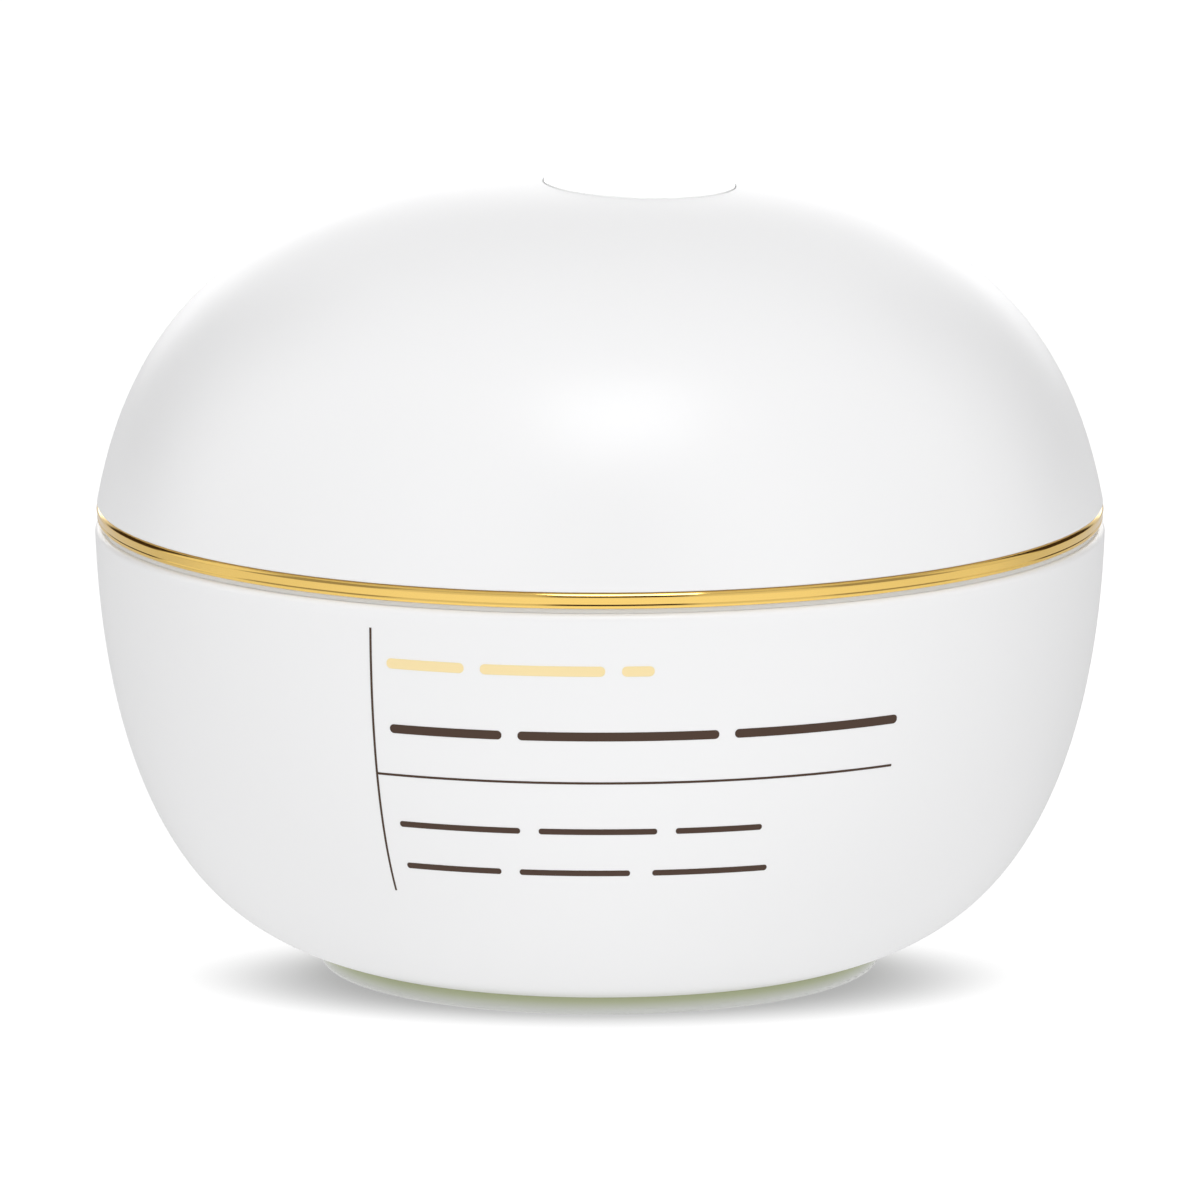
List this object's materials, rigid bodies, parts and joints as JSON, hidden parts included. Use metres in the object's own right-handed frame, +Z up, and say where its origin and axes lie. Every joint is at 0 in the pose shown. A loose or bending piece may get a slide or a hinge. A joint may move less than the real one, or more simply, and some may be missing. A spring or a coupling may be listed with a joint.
{
  "type": "cosmetic cream jar",
  "caption": "Pebble-shaped white face-cream jar: thick glass bowl, domed screw cap with a gold trim ring, inner liner cap and a lift-out sealing disc.",
  "frame": {"origin": "centre of the foot ring, on the surface the jar stands on", "axes": "+Z up along the jar's axis, -Y towards the front, +X to the right seen from the front"},
  "size_m": [0.0738, 0.0738, 0.0581],
  "materials": {
    "coated_glass": "satin white coating on pressed glass, bare greenish glass at the foot",
    "natural_polymer": "natural translucent",
    "foam_wad": "fine closed-cell foam",
    "gold_ring": "polished gold anodised",
    "liner_polymer": "moulded white",
    "white_shell": "satin white",
    "badge_film": "gloss white"
  },
  "bodies": {
    "jar": {"glass_jar": "coated_glass"},
    "seal": {"sealing_disc": "natural_polymer"},
    "wad": {"sealing_wad": "foam_wad"},
    "ring": {"trim_ring": "gold_ring"},
    "cap": {"inner_cap": "liner_polymer", "dome_shell": "white_shell", "dome_badge": "badge_film"}
  },
  "joints": [
    {"name": "seal_lift", "type": "slide", "parent": "jar", "child": "seal", "axis": [0, 0, 1], "range_m": [0, 0.045]},
    {"name": "cap_lift", "type": "slide", "parent": "seal", "child": "wad", "axis": [0, 0, 1], "range_m": [0, 0.06]},
    {"name": "cap_rise", "type": "slide", "parent": "wad", "child": "ring", "axis": [0, 0, 1], "range_m": [0, 0.0045]},
    {"name": "cap_turn", "type": "hinge", "parent": "ring", "child": "cap", "pos_m": [0, 0, 0.0384], "axis": [0, 0, 1], "range_deg": [0, 405]}
  ],
  "couplings": [
    {"joint": "cap_rise", "follows": "cap_turn", "m_per_rad": 0.00063662}
  ]
}
